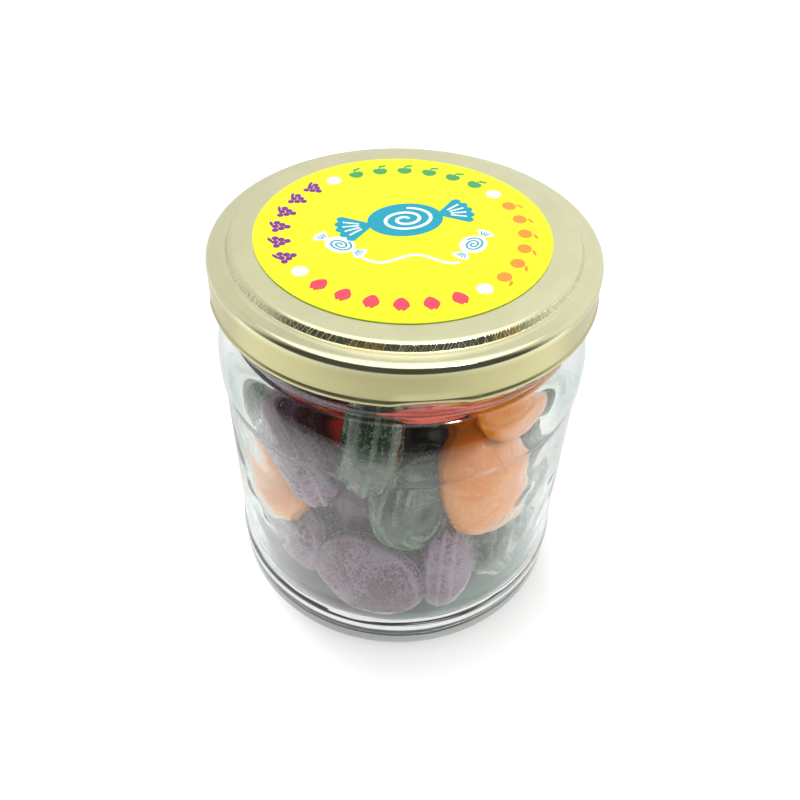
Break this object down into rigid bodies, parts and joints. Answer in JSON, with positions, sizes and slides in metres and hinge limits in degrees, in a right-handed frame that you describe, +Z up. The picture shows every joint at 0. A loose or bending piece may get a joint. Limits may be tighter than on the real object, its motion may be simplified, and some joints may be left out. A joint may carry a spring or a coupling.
{
  "type": "jar of fruit-shaped boiled sweets",
  "caption": "Short round clear glass jar filled with dusted fruit-shaped boiled sweets, closed by a gold twist-off lid that carries a round coloured paper label.",
  "frame": {"origin": "middle of the jar's foot, on the surface that it stands on", "axes": "+Z is up, along the jar's turning axis and through the middle of the lid; the front of the jar, with the sweets placed as in the picture, faces -Y; +X is to the right seen from the front"},
  "size_m": [0.0672, 0.0672, 0.0775],
  "materials": {
    "glass_jar": "clear smooth moulded glass with a faint green cast",
    "lid": "pale gold lacquer on pressed tinplate, satin to glossy",
    "label": "smooth satin paper, lime yellow with a teal and white design",
    "sweets": "translucent boiled sugar in purple, green, orange and red, dusted with fine sugar"
  },
  "bodies": {
    "root": {"glass_jar": "glass_jar", "lid": "lid", "label": "label", "sweets": "sweets"}
  },
  "joints": []
}
